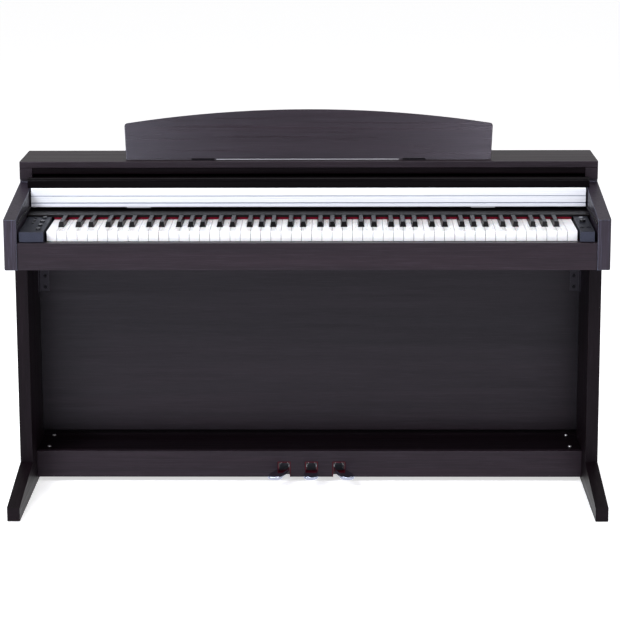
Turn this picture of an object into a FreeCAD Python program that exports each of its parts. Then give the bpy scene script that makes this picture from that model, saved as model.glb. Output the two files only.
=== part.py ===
import FreeCAD, Part
import math
import os
import Sketcher
from FreeCAD import Placement, Rotation, Vector

# Digital piano on its stand.
# Frame: X to the player's right, Y away from the player, Z up, millimetres.
# The origin is on the floor under the middle of the whole object's box.
# Depths in the sheet are measured from the front edge of the two arms, and
# front_offset brings them into the frame.

doc = FreeCAD.newDocument("digital_piano")
sheet = doc.addObject("Spreadsheet::Sheet", "Sizes")

SIZES = [
    # cabinet
    ("body_width", 1391.0), ("side_thick", 30.0), ("front_offset", 205.0),
    ("arm_base_z", 579.0), ("arm_front_z", 696.0), ("slope_rise", 0.13),
    ("step_y", 300.0), ("back_y", 485.0), ("block_z", 743.0), ("lid_under_z", 770.0),
    ("lid_thick", 16.0), ("arm_round", 4.0), ("fit_gap", 0.3),
    ("fascia_y", 303.0), ("fascia_thick", 16.0), ("fascia_z", 755.0),
    ("back_board", 8.0), ("bed_thick", 15.0),
    ("slip_y", 3.0), ("slip_thick", 18.0), ("slip_top_z", 642.0),
    ("speaker_x", 500.0), ("speaker_y", 372.0), ("speaker_hole", 52.0),
    # keyboard
    ("key_pitch", 23.5), ("octave", 164.5), ("key_left", -600.0), ("key_front_y", 30.0),
    ("key_top_z", 665.0), ("key_head", 53.0), ("key_rear_y", 288.0), ("key_side_gap", 0.4),
    ("key_plate", 9.0), ("key_lip", 23.5), ("sharp_front_y", 84.5), ("sharp_rear_y", 181.5),
    ("sharp_base", 13.4), ("sharp_crown", 9.8), ("sharp_rise", 11.5), ("key_pivot_y", 272.0),
    ("key_pivot_z", 648.0), ("key_rod", 2.5), ("key_bore", 2.57),
    # strip and controls
    ("strip_y", 182.5), ("strip_z", 671.0), ("strip_thick", 6.0), ("strip_depth", 294.2),
    ("panel_front_y", 9.0), ("panel_rear_y", 181.5), ("panel_front_z", 667.0), ("panel_rear_z", 672.5),
    ("panel_low_z", 643.5), ("left_panel_x", -661.0), ("left_panel_wide", 56.0),
    ("right_panel_x", 626.0), ("right_panel_wide", 33.0),
    ("big_wide", 11.0), ("big_long", 17.0), ("small_wide", 6.5), ("small_long", 9.0),
    ("button_high", 8.0), ("button_gap", 0.4), ("jack_bore", 3.2), ("knob_bore", 6.6),
    # cover
    ("nose_half", 671.0), ("nose_y", 254.6), ("nose_rear_y", 271.0), ("nose_top_z", 753.0),
    ("nose_lift", 1.5), ("panel_lift", 3.5), ("panel_sheet", 6.0), ("cover_rear_y", 474.0),
    ("leaf_half", 661.5), ("leaf_y", 243.0), ("leaf_back_y", 248.3), ("leaf_low_z", 685.0),
    ("leaf_top_z", 730.2), ("leaf_axis_y", 251.0), ("leaf_axis_z", 726.6), ("knuckle", 2.2),
    ("knuckle_bore", 1.28), ("pin_rad", 1.2), ("grip_left_x", -433.0), ("grip_right_x", 389.0), ("grip_wide", 57.0),
    # music rest
    ("rest_half", 440.0), ("rest_top_half", 446.0), ("rest_side", 84.0), ("rest_high", 119.0),
    ("rest_thick", 12.0), ("rest_lean", 20.0), ("rest_axis_y", 333.0), ("rest_axis_z", 789.4),
    ("hinge_x", 254.5), ("hinge_wide", 57.0),
    # stand
    ("leg_y", 172.0), ("leg_rear_y", 455.0), ("leg_low_z", 73.0), ("foot_y", -75.0), ("foot_tip_z", 33.0),
    ("pad_high", 2.0), ("shelf_y", 266.0), ("shelf_top_z", 80.0), ("shelf_thick", 15.0),
    ("rear_y", 382.0), ("rear_thick", 15.0), ("rear_low_z", 97.8), ("pedal_board_y", 250.0), ("pedal_board_z", 14.0),
    ("pedal_x", 6.0), ("pedal_pitch", 67.0), ("notch_wide", 31.0), ("notch_top_z", 52.0),
    ("pedal_pivot_y", 345.0), ("pedal_pivot_z", 43.0), ("pedal_tip_y", 185.0),
]
for i, (name, value) in enumerate(SIZES):
    sheet.set("A%d" % (i + 1), name)
    sheet.set("B%d" % (i + 1), repr(value))
    sheet.setAlias("B%d" % (i + 1), name)
doc.recompute()


class Size:
    """A length that carries its number and the expression that gives it."""

    def __init__(self, value, text):
        self.v = float(value)
        self.t = text

    @staticmethod
    def of(x):
        if isinstance(x, Size):
            return x
        return Size(x, "(%.6f)" % x if x < 0 else "%.6f" % x)

    def _two(self, other, value, sign):
        return Size(value, "(%s %s %s)" % (self.t, sign, other.t))

    def __add__(self, o):
        o = Size.of(o)
        return self._two(o, self.v + o.v, "+")

    def __radd__(self, o):
        return Size.of(o) + self

    def __sub__(self, o):
        o = Size.of(o)
        return self._two(o, self.v - o.v, "-")

    def __rsub__(self, o):
        return Size.of(o) - self

    def __mul__(self, o):
        o = Size.of(o)
        return self._two(o, self.v * o.v, "*")

    def __rmul__(self, o):
        return Size.of(o) * self

    def __truediv__(self, o):
        o = Size.of(o)
        return self._two(o, self.v / o.v, "/")

    def __neg__(self):
        return Size(-self.v, "(0 - %s)" % self.t)


TABLE = {}
for name, value in SIZES:
    TABLE[name] = Size(sheet.get(name), "Sizes." + name)


def S(name):
    return TABLE[name]


def D(depth):
    """A depth from the arms' front edge, brought into the frame."""
    return Size.of(depth) - S("front_offset")


def slope(depth, lift=0.0):
    """Height of the arms' sloping top at a depth, plus a lift."""
    return S("arm_front_z") + S("slope_rise") * Size.of(depth) + lift


PARTS = []
HALF = S("body_width") / 2
INNER = HALF - S("side_thick")          # inner face of a side board
FIT = INNER - S("fit_gap")              # what stands between the side boards


def role(body, name):
    for f in body.Origin.OriginFeatures:
        if f.Role == name:
            return f
    raise RuntimeError("no " + name)


def bind(obj, prop, size):
    size = Size.of(size)
    obj.setExpression(prop, size.t)


def new_body(label, at=(0.0, 0.0, 0.0)):
    body = doc.addObject("PartDesign::Body", label)
    body.Label = label
    place(body, at)
    PARTS.append(body)
    return body


def place(body, at):
    at = [Size.of(a) for a in at]
    body.Placement = Placement(Vector(at[0].v, at[1].v, at[2].v), Rotation())
    for k, a in zip("xyz", at):
        bind(body, "Placement.Base." + k, a)


def new_sketch(body, plane, offset=0.0):
    sk = body.newObject("Sketcher::SketchObject", body.Label + "_sketch")
    sk.AttachmentSupport = [(role(body, plane), "")]
    sk.MapMode = "FlatFace"
    offset = Size.of(offset)
    if abs(offset.v) > 1e-9:
        sk.AttachmentOffset = Placement(Vector(0, 0, offset.v), Rotation())
        bind(sk, "AttachmentOffset.Base.z", offset)
    return sk


def fix_point(sk, geo, pos, x, y):
    x, y = Size.of(x), Size.of(y)
    for kind, s in (("DistanceX", x), ("DistanceY", y)):
        n = sk.addConstraint(Sketcher.Constraint(kind, geo, pos, s.v))
        bind(sk, "Constraints[%d]" % n, s)


def polygon(sk, pts):
    pts = [(Size.of(a), Size.of(b)) for a, b in pts]
    first = sk.GeometryCount
    n = len(pts)
    for i in range(n):
        a, b = pts[i], pts[(i + 1) % n]
        sk.addGeometry(Part.LineSegment(Vector(a[0].v, a[1].v, 0), Vector(b[0].v, b[1].v, 0)), False)
    for i in range(n):
        sk.addConstraint(Sketcher.Constraint("Coincident", first + i, 2, first + (i + 1) % n, 1))
    for i in range(n):
        fix_point(sk, first + i, 1, pts[i][0], pts[i][1])


def rectangle(sk, x0, y0, x1, y1):
    polygon(sk, [(x0, y0), (x1, y0), (x1, y1), (x0, y1)])


def circle(sk, x, y, r):
    x, y, r = Size.of(x), Size.of(y), Size.of(r)
    g = sk.addGeometry(Part.Circle(Vector(x.v, y.v, 0), Vector(0, 0, 1), r.v), False)
    n = sk.addConstraint(Sketcher.Constraint("Radius", g, r.v))
    bind(sk, "Constraints[%d]" % n, r)
    fix_point(sk, g, 3, x, y)


def oval(sk, x, y, wide, long):
    """A slot outline, long way along the sketch's second axis."""
    x, y, r = Size.of(x), Size.of(y), Size.of(wide) / 2
    h = (Size.of(long) - Size.of(wide)) / 2
    up, dn = y + h, y - h
    a = sk.addGeometry(Part.ArcOfCircle(Part.Circle(Vector(x.v, up.v, 0), Vector(0, 0, 1), r.v), 0, math.pi), False)
    b = sk.addGeometry(Part.LineSegment(Vector(x.v - r.v, up.v, 0), Vector(x.v - r.v, dn.v, 0)), False)
    c = sk.addGeometry(Part.ArcOfCircle(Part.Circle(Vector(x.v, dn.v, 0), Vector(0, 0, 1), r.v), math.pi, 2 * math.pi), False)
    d = sk.addGeometry(Part.LineSegment(Vector(x.v + r.v, dn.v, 0), Vector(x.v + r.v, up.v, 0)), False)
    for one, other in (((a, 2), (b, 1)), ((b, 2), (c, 1)), ((c, 2), (d, 1)), ((d, 2), (a, 1))):
        sk.addConstraint(Sketcher.Constraint("Tangent", one[0], one[1], other[0], other[1]))
    n = sk.addConstraint(Sketcher.Constraint("Radius", a, r.v))
    bind(sk, "Constraints[%d]" % n, r)
    fix_point(sk, a, 3, x, up)
    fix_point(sk, c, 3, x, dn)


def state_ok(obj):
    for word in obj.State:
        if word in ("Invalid", "Error"):
            raise RuntimeError("%s is %s" % (obj.Name, obj.State))


def pad(body, sk, length, back=False, both=False):
    f = body.newObject("PartDesign::Pad", body.Label + "_pad")
    f.Profile = sk
    length = Size.of(length)
    f.Length = length.v
    bind(f, "Length", length)
    f.Reversed = back
    f.Midplane = both
    body.Tip = f
    doc.recompute()
    state_ok(f)
    return f


def pocket(body, sk, length=None, both=False):
    """Cuts along the sketch's normal; the side that holds the solid is found by volume."""
    before = body.Tip.Shape.Volume
    f = body.newObject("PartDesign::Pocket", body.Label + "_cut")
    f.Profile = sk
    if length is None:
        f.Type = "ThroughAll"
        f.Midplane = True
    else:
        length = Size.of(length)
        f.Length = length.v
        bind(f, "Length", length)
        f.Midplane = both
    body.Tip = f
    doc.recompute()
    if f.Shape.Volume > before - 1e-6:
        f.Reversed = not f.Reversed
        doc.recompute()
    state_ok(f)
    if f.Shape.Volume > before - 1e-6:
        raise RuntimeError("nothing cut from " + body.Label)
    return f


def edges_of(body, test):
    """Names of the tip's edges whose end points and middle pass the test, in the body's own axes."""
    shape = body.Tip.Shape
    found = []
    for i, e in enumerate(shape.Edges):
        if len(e.Vertexes) < 1:
            continue
        b = e.BoundBox
        if test(b, e):
            found.append("Edge%d" % (i + 1))
    return found


def dress(body, kind, test, size):
    names = edges_of(body, test)
    if not names:
        raise RuntimeError("no edge to dress on " + body.Label)
    base = body.Tip
    f = body.newObject("PartDesign::" + kind, body.Label + "_" + kind.lower())
    f.Base = (base, names)
    size = Size.of(size)
    if kind == "Fillet":
        f.Radius = size.v
        bind(f, "Radius", size)
    else:
        f.Size = size.v
        bind(f, "Size", size)
    body.Tip = f
    doc.recompute()
    state_ok(f)
    return f


def near(a, b, tol=0.02):
    return abs(a - float(b)) < tol


def along(axis, **where):
    """Edge test: the edge runs along one axis only, at the given places, such as y0=…, z0=…"""
    def test(b, e):
        spans = {"x": b.XLength, "y": b.YLength, "z": b.ZLength}
        lows = {"x": b.XMin, "y": b.YMin, "z": b.ZMin}
        for k in "xyz":
            if k == axis:
                if spans[k] < 0.5:
                    return False
            elif spans[k] > 0.02:
                return False
        for k, v in where.items():
            if not near(lows[k], v.v if isinstance(v, Size) else v):
                return False
        return True
    return test


def mirror(body):
    f = body.newObject("PartDesign::Mirrored", body.Label + "_mirror")
    f.TransformMode = "Whole shape"
    f.MirrorPlane = (role(body, "YZ_Plane"), [""])
    body.Tip = f
    doc.recompute()
    state_ok(f)
    return f


def repeat(body, axis, pitch, count):
    pitch = Size.of(pitch)
    f = body.newObject("PartDesign::LinearPattern", body.Label + "_row")
    f.TransformMode = "Whole shape"
    f.Direction = (role(body, axis + "_Axis"), [""])
    f.Mode = "Extent"
    f.Length = pitch.v * (count - 1)
    bind(f, "Length", pitch * (count - 1))
    f.Occurrences = count
    body.Tip = f
    doc.recompute()
    state_ok(f)
    return f


def block(label, x0, x1, y0, y1, z0, z1):
    """A board: a rectangle drawn on XY, padded up, standing at its lowest corner."""
    x0, x1, y0, y1, z0, z1 = [Size.of(a) for a in (x0, x1, y0, y1, z0, z1)]
    body = new_body(label, (x0, y0, z0))
    sk = new_sketch(body, "XY_Plane")
    rectangle(sk, 0.0, 0.0, x1 - x0, y1 - y0)
    pad(body, sk, z1 - z0)
    return body


def side_profile(label, pts, x0, x1):
    """A side view drawn on YZ and padded along X from x0 to x1."""
    x0, x1 = Size.of(x0), Size.of(x1)
    body = new_body(label, (x0, 0.0, 0.0))
    sk = new_sketch(body, "YZ_Plane")
    polygon(sk, pts)
    pad(body, sk, x1 - x0)
    return body


# ---------------------------------------------------------------- cabinet

arm = [
    (D(0), S("arm_base_z")), (D(0), S("arm_front_z")),
    (D(S("step_y")), slope(S("step_y"))), (D(S("step_y") + 6), slope(S("step_y") + 6)),
    (D(S("step_y") + 6), S("block_z")), (D(S("back_y")), S("block_z")),
    (D(S("back_y")), S("arm_base_z")),
]
left_side = side_profile("left_side_panel", arm, -HALF, -INNER)
dress(left_side, "Fillet", lambda b, e: along("z", x=0.0, y=D(0))(b, e) or along("y", x=0.0, z=S("arm_base_z"))(b, e), S("arm_round"))
right_side = side_profile("right_side_panel", arm, INNER, HALF)
dress(right_side, "Fillet", lambda b, e: along("z", x=S("side_thick"), y=D(0))(b, e) or along("y", x=S("side_thick"), z=S("arm_base_z"))(b, e), S("arm_round"))

# blocks that lift the lid off the arms, with a shadow gap in front below them
cheeks = new_body("cheek_blocks")
sk = new_sketch(cheeks, "XZ_Plane", -(D(S("step_y"))))
polygon(sk, [
    (INNER + 5, S("block_z")), (HALF, S("block_z")), (HALF, S("lid_under_z")),
    (INNER, S("lid_under_z")), (INNER, S("block_z") + 5),
])
pad(cheeks, sk, S("back_y") - S("step_y"), back=True)
mirror(cheeks)

lid = block("top_board", -HALF, HALF, D(S("step_y")), D(S("back_y")), S("lid_under_z"), S("lid_under_z") + S("lid_thick"))
dress(lid, "Fillet", along("x", y=0.0), 2.0)

fascia = block("upper_fascia", -FIT, FIT, D(S("fascia_y")), D(S("fascia_y") + S("fascia_thick")), S("fascia_z"), S("lid_under_z"))
dress(fascia, "Fillet", along("x", y=0.0, z=0.0), 2.0)

back = block("cabinet_back", -FIT, FIT, D(S("back_y") - S("back_board")), D(S("back_y")), S("arm_base_z") + S("bed_thick"), S("lid_under_z"))
sk = new_sketch(back, "XZ_Plane")
rectangle(sk, FIT - 560, 46.0, FIT - 440, 96.0)       # window for the socket plate
pocket(back, sk)

bed = block("key_bed", -FIT, FIT, D(S("slip_y") + S("slip_thick")), D(S("back_y") - S("back_board")), S("arm_base_z"), S("arm_base_z") + S("bed_thick"))
sk = new_sketch(bed, "XY_Plane")
for side in (-1, 1):
    circle(sk, FIT + side * S("speaker_x"), S("speaker_y") - S("slip_y") - S("slip_thick"), S("speaker_hole"))
pocket(bed, sk)

slip = block("key_slip", -FIT, FIT, D(S("slip_y")), D(S("slip_y") + S("slip_thick")), S("arm_base_z"), S("slip_top_z"))
dress(slip, "Fillet", along("x", y=0.0, z=S("slip_top_z") - S("arm_base_z")), 2.0)

# ------------------------------------------------------------- keyboard

bed_top = S("arm_base_z") + S("bed_thick")
chassis_pts = [(24, 0.3), (300, 0.3), (300, 46), (296, 46), (296, 4), (276, 4), (276, 43.0), (268, 43.0),
               (268, 4), (56, 4), (56, 34), (44, 34), (44, 4), (24, 4)]
chassis = side_profile("keyboard_chassis", [(D(a), bed_top + b) for a, b in chassis_pts],
                       S("key_left") - 4, S("key_left") + 52 * S("key_pitch") + 4)
wall = S("key_pivot_z") + 5
for x in [0.0, 3.7] + [S("octave") * n - 5 * S("key_pitch") + 3.0 for n in range(1, 9)]:     # webs that carry the pivot rod
    if isinstance(x, float):
        sk = new_sketch(chassis, "YZ_Plane", x if x == 0.0 else 52 * S("key_pitch") + 4.6)
        wide = 3.4
    else:
        sk = new_sketch(chassis, "YZ_Plane", x)
        wide = 2.0
    rectangle(sk, D(268.0), bed_top + 40, D(276.0), wall)
    pad(chassis, sk, wide)
sk = new_sketch(chassis, "YZ_Plane")
circle(sk, D(S("key_pivot_y")), S("key_pivot_z"), S("key_rod"))
pad(chassis, sk, 52 * S("key_pitch") + 8)

felt = block("key_felt", S("key_left"), S("key_left") + 52 * S("key_pitch"), D(S("strip_y") + 1.5), D(S("strip_y") + 7.5),
             S("key_top_z") + 1.2, S("strip_z"))

strip = block("fallboard_strip", -FIT, FIT, D(S("strip_y")), D(S("strip_y") + S("strip_depth")), S("strip_z"), S("strip_z") + S("strip_thick"))
dress(strip, "Fillet", along("x", y=0.0, z=S("strip_thick")), 1.5)

CUT = 7.5      # half the room that a sharp takes between two white tails
SHARPS = {"c": 20.5, "d": 50.0, "f": 90.0, "g": 117.5, "a": 145.0}      # middles, from the C's left edge
TAILS = {"c": (None, "c"), "d": ("c", "d"), "e": ("d", None), "f": (None, "f"), "g": ("f", "g"), "a": ("g", "a"), "b": ("a", None)}
ORDER = "cdefgab"


def bearing(body, mid, up_to):
    """A block under the key with the bore that turns on the pivot rod."""
    low = S("key_pivot_z") - 5.2
    sk = new_sketch(body, "XY_Plane", low)
    rectangle(sk, mid - 4, D(S("key_pivot_y") - 6), mid + 4, D(S("key_pivot_y") + 6))
    pad(body, sk, up_to - low)
    before = body.Tip.Shape.Volume
    sk = new_sketch(body, "YZ_Plane", mid - 5)
    circle(sk, D(S("key_pivot_y")), S("key_pivot_z"), S("key_bore"))
    f = body.newObject("PartDesign::Pocket", body.Label + "_bore")
    f.Profile = sk
    f.Length = 10.0
    f.Reversed = True
    body.Tip = f
    doc.recompute()
    state_ok(f)
    if f.Shape.Volume > before - 100:
        raise RuntimeError("no bore in " + body.Label)


def white_solids(body, x0, x1, t0, t1):
    """One white key: head with its front lip, tail and the bearing over the pivot rail."""
    top, front = S("key_top_z"), S("key_front_y")
    sk = new_sketch(body, "YZ_Plane", x0)
    polygon(sk, [
        (D(front), top - S("key_lip")), (D(front), top), (D(front + S("key_head")), top),
        (D(front + S("key_head")), top - S("key_plate")), (D(front + 3), top - S("key_plate")), (D(front + 3), top - S("key_lip")),
    ])
    pad(body, sk, x1 - x0)
    sk = new_sketch(body, "XY_Plane", top - S("key_plate"))
    rectangle(sk, t0, D(front + S("key_head") - 1), t1, D(S("key_rear_y")))
    pad(body, sk, S("key_plate"))
    bearing(body, (t0 + t1) / 2, top - S("key_plate") + 1)


def white_group(letter):
    i = ORDER.index(letter)
    left, right = TAILS[letter]
    gap = S("key_side_gap")
    first = 0 if letter in "ab" else 1        # octave of the first key, counted from the lowest A
    base = S("key_left") + S("octave") * (0 if letter in "ab" else 0) - 5 * S("key_pitch")
    # base is the left edge of the C below the lowest A
    start = 1 if letter != "b" else 0          # the patterned keys start here
    count = 7 if letter != "b" else 8
    body = new_body("key_" + letter)
    origin = base + S("octave") * start
    x0 = origin + S("key_pitch") * i + gap
    x1 = origin + S("key_pitch") * (i + 1) - gap
    t0 = origin + SHARPS[left] + CUT if left else x0
    t1 = origin + SHARPS[right] - CUT if right else x1
    white_solids(body, x0, x1, t0, t1)
    dress(body, "Fillet", along("x", y=D(S("key_front_y")), z=S("key_top_z")), 1.2)
    repeat(body, "X", S("octave"), count)
    if letter == "a":       # lowest key, with nothing to its left
        x0 = base + S("key_pitch") * 5 + gap
        x1 = base + S("key_pitch") * 6 - gap
        white_solids(body, x0, x1, x0, base + SHARPS["a"] - CUT)
    if letter == "c":       # highest key, with nothing to its right
        o = base + S("octave") * 8
        white_solids(body, o + gap, o + S("key_pitch") - gap, o + gap, o + S("key_pitch") - gap)
    return body


def sharp_group(letter):
    count = 8 if letter == "a" else 7
    base = S("key_left") - 5 * S("key_pitch") + S("octave") * (0 if letter == "a" else 1)
    mid = base + SHARPS[letter]
    top = S("key_top_z")
    low = top - 0.2
    body = new_body("key_" + letter + "_sharp")
    sk = new_sketch(body, "XY_Plane", low - 11)
    rectangle(sk, mid - 6.3, D(S("sharp_front_y") + 1.5), mid + 6.3, D(S("key_rear_y")))
    pad(body, sk, 11.0)
    wide, crown = S("sharp_base") / 2, S("sharp_crown") / 2
    a = new_sketch(body, "XY_Plane", low)
    rectangle(a, mid - wide, D(S("sharp_front_y")), mid + wide, D(S("sharp_rear_y")))
    b = new_sketch(body, "XY_Plane", top + S("sharp_rise"))
    rectangle(b, mid - crown, D(S("sharp_front_y") + 6), mid + crown, D(S("sharp_rear_y")))
    f = body.newObject("PartDesign::AdditiveLoft", body.Label + "_loft")
    f.Profile = a
    f.Sections = [b]
    body.Tip = f
    doc.recompute()
    state_ok(f)
    zt = (top + S("sharp_rise")).v

    def crown_edges(bb, e):
        return near(bb.ZMin, zt) and near(bb.ZMax, zt) and not near(bb.YMin, D(S("sharp_rear_y")).v)
    dress(body, "Fillet", crown_edges, 1.3)
    bearing(body, mid, low - 10)
    repeat(body, "X", S("octave"), count)
    return body


for letter in "cdefgab":
    white_group(letter)
for letter in "cdfga":
    sharp_group(letter)

# ------------------------------------------------------------- controls

panel_rise = (S("panel_rear_z") - S("panel_front_z")) / (S("panel_rear_y") - S("panel_front_y"))


def deck(depth):
    """Height of the control panels' top at a depth."""
    return S("panel_front_z") + panel_rise * (Size.of(depth) - S("panel_front_y"))


panel_pts = [
    (D(S("panel_front_y")), S("panel_low_z")), (D(S("panel_front_y")), S("panel_front_z")),
    (D(S("panel_rear_y")), S("panel_rear_z")), (D(S("panel_rear_y")), bed_top + 0.3),
    (D(S("panel_front_y") + 24), bed_top + 0.3), (D(S("panel_front_y") + 24), S("panel_low_z")),
]
BIG = [44.0, 85.0, 126.0, 168.0]
SMALL = [108.0, 136.0, 164.0]
big_x, small_x = S("left_panel_x") + 40.5, S("left_panel_x") + 20
left_panel = side_profile("left_control_panel", panel_pts, S("left_panel_x"), S("left_panel_x") + S("left_panel_wide"))
dress(left_panel, "Fillet", along("x", y=D(S("panel_front_y")), z=S("panel_front_z")), 1.5)
sk = new_sketch(left_panel, "XY_Plane", S("panel_rear_z") + 2)
for y in BIG:
    oval(sk, 40.5, D(y), S("big_wide") + 2 * S("button_gap"), S("big_long") + 2 * S("button_gap"))
for y in SMALL:
    oval(sk, 20.0, D(y), S("small_wide") + 2 * S("button_gap"), S("small_long") + 2 * S("button_gap"))
pocket(left_panel, sk, 15.0)

right_panel = side_profile("right_control_panel", panel_pts, S("right_panel_x"), S("right_panel_x") + S("right_panel_wide"))
dress(right_panel, "Fillet", along("x", y=D(S("panel_front_y")), z=S("panel_front_z")), 1.5)
JACKS = (8.5, 23.5)
sk = new_sketch(right_panel, "XY_Plane", S("panel_rear_z") + 2)
for x in JACKS:
    circle(sk, x, D(55.0), S("jack_bore"))
pocket(right_panel, sk, 42.0)
sk = new_sketch(right_panel, "XY_Plane", S("panel_rear_z") + 2)
circle(sk, 15.5, D(118.0), S("knob_bore"))
circle(sk, 17.0, D(164.0), 5.4)
pocket(right_panel, sk, 15.0)


def button(label, x, y, wide, long, proud):
    body = new_body(label, (x, D(y), deck(y) - (S("button_high") - proud)))
    sk = new_sketch(body, "XY_Plane")
    oval(sk, 0.0, 0.0, wide, long)
    pad(body, sk, S("button_high"))
    z = S("button_high").v
    dress(body, "Fillet", lambda b, e: near(b.ZMin, z) and near(b.ZMax, z), 1.4)
    return body


for n, y in enumerate(BIG):
    button("voice_button_%d" % (n + 1), big_x, y, S("big_wide"), S("big_long"), 3.0)
for n, y in enumerate(SMALL):
    button("mode_button_%d" % (n + 1), small_x, y, S("small_wide"), S("small_long"), 2.2)

power = new_body("power_button", (S("right_panel_x") + 17, D(164.0), deck(164.0) - 5.5))
sk = new_sketch(power, "XY_Plane")
circle(sk, 0.0, 0.0, 5.0)
pad(power, sk, 8.0)
dress(power, "Fillet", lambda b, e: near(b.ZMin, 8.0) and near(b.ZMax, 8.0), 1.2)

knob = new_body("volume_knob", (S("right_panel_x") + 15.5, D(118.0), deck(118.0) - 2.6))
sk = new_sketch(knob, "XZ_Plane")
polygon(sk, [(0.0, 0.0), (6.2, 0.0), (6.2, 3.2), (7.2, 3.6), (6.9, 7.6), (6.2, 8.4), (0.0, 8.4)])
f = knob.newObject("PartDesign::Revolution", "volume_knob_turn")
f.Profile = sk
f.ReferenceAxis = (role(knob, "Z_Axis"), [""])
f.Angle = 360
knob.Tip = f
doc.recompute()
state_ok(f)
sk = new_sketch(knob, "XY_Plane", 8.4)
rectangle(sk, -0.5, 2.0, 0.5, 6.4)
pocket(knob, sk, 1.2, both=True)

# ---------------------------------------------------------- sliding cover

nose = side_profile("cover_nose", [
    (D(S("nose_y")), slope(S("nose_y"), S("nose_lift"))), (D(S("nose_y")), S("nose_top_z")),
    (D(S("nose_rear_y")), S("nose_top_z")), (D(S("nose_rear_y")), slope(S("nose_rear_y"), S("nose_lift"))),
], -S("nose_half"), S("nose_half"))
dress(nose, "Fillet", along("x", y=D(S("nose_y")), z=S("nose_top_z")), 9.0)
dress(nose, "Fillet", along("x", y=D(S("nose_rear_y")), z=S("nose_top_z")), 4.0)

LEAF_KNUCKLES = (-600.0, -220.0, 180.0, 560.0)       # left ends, 40 long
for x in LEAF_KNUCKLES:
    sk = new_sketch(nose, "YZ_Plane", S("nose_half") + x + 40.5)
    circle(sk, D(S("leaf_axis_y")), S("leaf_axis_z"), S("knuckle"))
    pad(nose, sk, 20.0)
    sk = new_sketch(nose, "YZ_Plane", S("nose_half") + x + 40.5)
    polygon(sk, [
        (D(S("leaf_axis_y") + 0.2), S("leaf_axis_z") - 1.6), (D(S("leaf_axis_y") + 0.2), S("leaf_axis_z") + 1.9),
        (D(S("nose_y") + 0.7), S("leaf_axis_z") + 2.0), (D(S("nose_y") + 0.7), S("leaf_axis_z") + 5.4),
        (D(S("nose_y") + 4.5), S("leaf_axis_z") + 5.4), (D(S("nose_y") + 4.5), S("leaf_axis_z") - 1.6),
    ])
    pad(nose, sk, 20.0)
for x in LEAF_KNUCKLES:                              # pins through the leaf's knuckles
    sk = new_sketch(nose, "YZ_Plane", S("nose_half") + x - 0.5)
    circle(sk, D(S("leaf_axis_y")), S("leaf_axis_z"), S("pin_rad"))
    pad(nose, sk, 50.0)

cover = side_profile("cover_panel", [
    (D(S("nose_rear_y")), slope(S("nose_rear_y"), S("panel_lift"))),
    (D(S("nose_rear_y")), slope(S("nose_rear_y"), S("panel_lift") + S("panel_sheet"))),
    (D(S("cover_rear_y")), slope(S("cover_rear_y"), S("panel_lift") + S("panel_sheet"))),
    (D(S("cover_rear_y")), slope(S("cover_rear_y"), S("panel_lift"))),
], -(FIT - 3.3), FIT - 3.3)

shoes = new_body("cover_shoes")
sk = new_sketch(shoes, "YZ_Plane", INNER + 0.7)       # glide pad between nose and arm
a, b = S("nose_y") + 2.5, S("nose_rear_y") - 2
polygon(sk, [(D(a), slope(a, 0.3)), (D(a), slope(a, S("nose_lift"))), (D(b), slope(b, S("nose_lift"))), (D(b), slope(b, 0.3))])
pad(shoes, sk, 4.0)
sk = new_sketch(shoes, "YZ_Plane", FIT - 24)          # guide shoe beside the inner rail
a, b = S("cover_rear_y") - 34, S("cover_rear_y") - 4
polygon(sk, [(D(a), slope(a, -4.0)), (D(a), slope(a, S("panel_lift"))), (D(b), slope(b, S("panel_lift"))), (D(b), slope(b, -4.0))])
pad(shoes, sk, 10.5)
mirror(shoes)

rails = new_body("cover_rails")
sk = new_sketch(rails, "YZ_Plane", FIT - 13.2)        # rails that carry the panel inside the cabinet
a, b = 272.0, S("cover_rear_y")
polygon(sk, [(D(a), slope(a, -2.9)), (D(a), slope(a, 3.1)), (D(b), slope(b, 3.1)), (D(b), slope(b, -2.9))])
pad(rails, sk, 13.2)
sk = new_sketch(rails, "YZ_Plane", FIT - 2.2)         # level ledges on the arms' inner faces
rectangle(sk, D(8.0), 684.0, D(241.0), 687.5)
pad(rails, sk, 2.2)
mirror(rails)

leaf = side_profile("cover_leaf", [
    (D(S("leaf_y") + 1), S("leaf_low_z")), (D(S("leaf_y")), S("leaf_low_z") + 1.5),
    (D(S("leaf_y")), 692.4), (D(S("leaf_y") + 1.8), 692.8), (D(S("leaf_y") + 1.8), 695.2), (D(S("leaf_y")), 695.6),
    (D(S("leaf_y")), 710.6), (D(S("leaf_y") + 0.9), 710.8), (D(S("leaf_y") + 0.9), 711.8), (D(S("leaf_y")), 712.0),
    (D(S("leaf_y")), S("leaf_top_z") - 1.2), (D(S("leaf_y") + 1.2), S("leaf_top_z")),
    (D(S("leaf_back_y")), S("leaf_top_z")), (D(S("leaf_back_y")), S("leaf_low_z")),
], -S("leaf_half"), S("leaf_half"))
for x in LEAF_KNUCKLES:
    sk = new_sketch(leaf, "YZ_Plane", S("leaf_half") + x)
    circle(sk, D(S("leaf_axis_y")), S("leaf_axis_z"), S("knuckle"))
    pad(leaf, sk, 40.0)
    sk = new_sketch(leaf, "YZ_Plane", S("leaf_half") + x)
    polygon(sk, [
        (D(S("leaf_back_y") - 0.6), S("leaf_axis_z") - 1.8), (D(S("leaf_back_y") - 0.6), S("leaf_axis_z") + 1.8),
        (D(S("leaf_axis_y") - 0.4), S("leaf_axis_z") + 1.8), (D(S("leaf_axis_y") - 0.4), S("leaf_axis_z") - 1.8),
    ])
    pad(leaf, sk, 40.0)
sk = new_sketch(leaf, "YZ_Plane")
circle(sk, D(S("leaf_axis_y")), S("leaf_axis_z"), S("knuckle_bore"))
pocket(leaf, sk, S("leaf_half") * 2 + 2)

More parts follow.
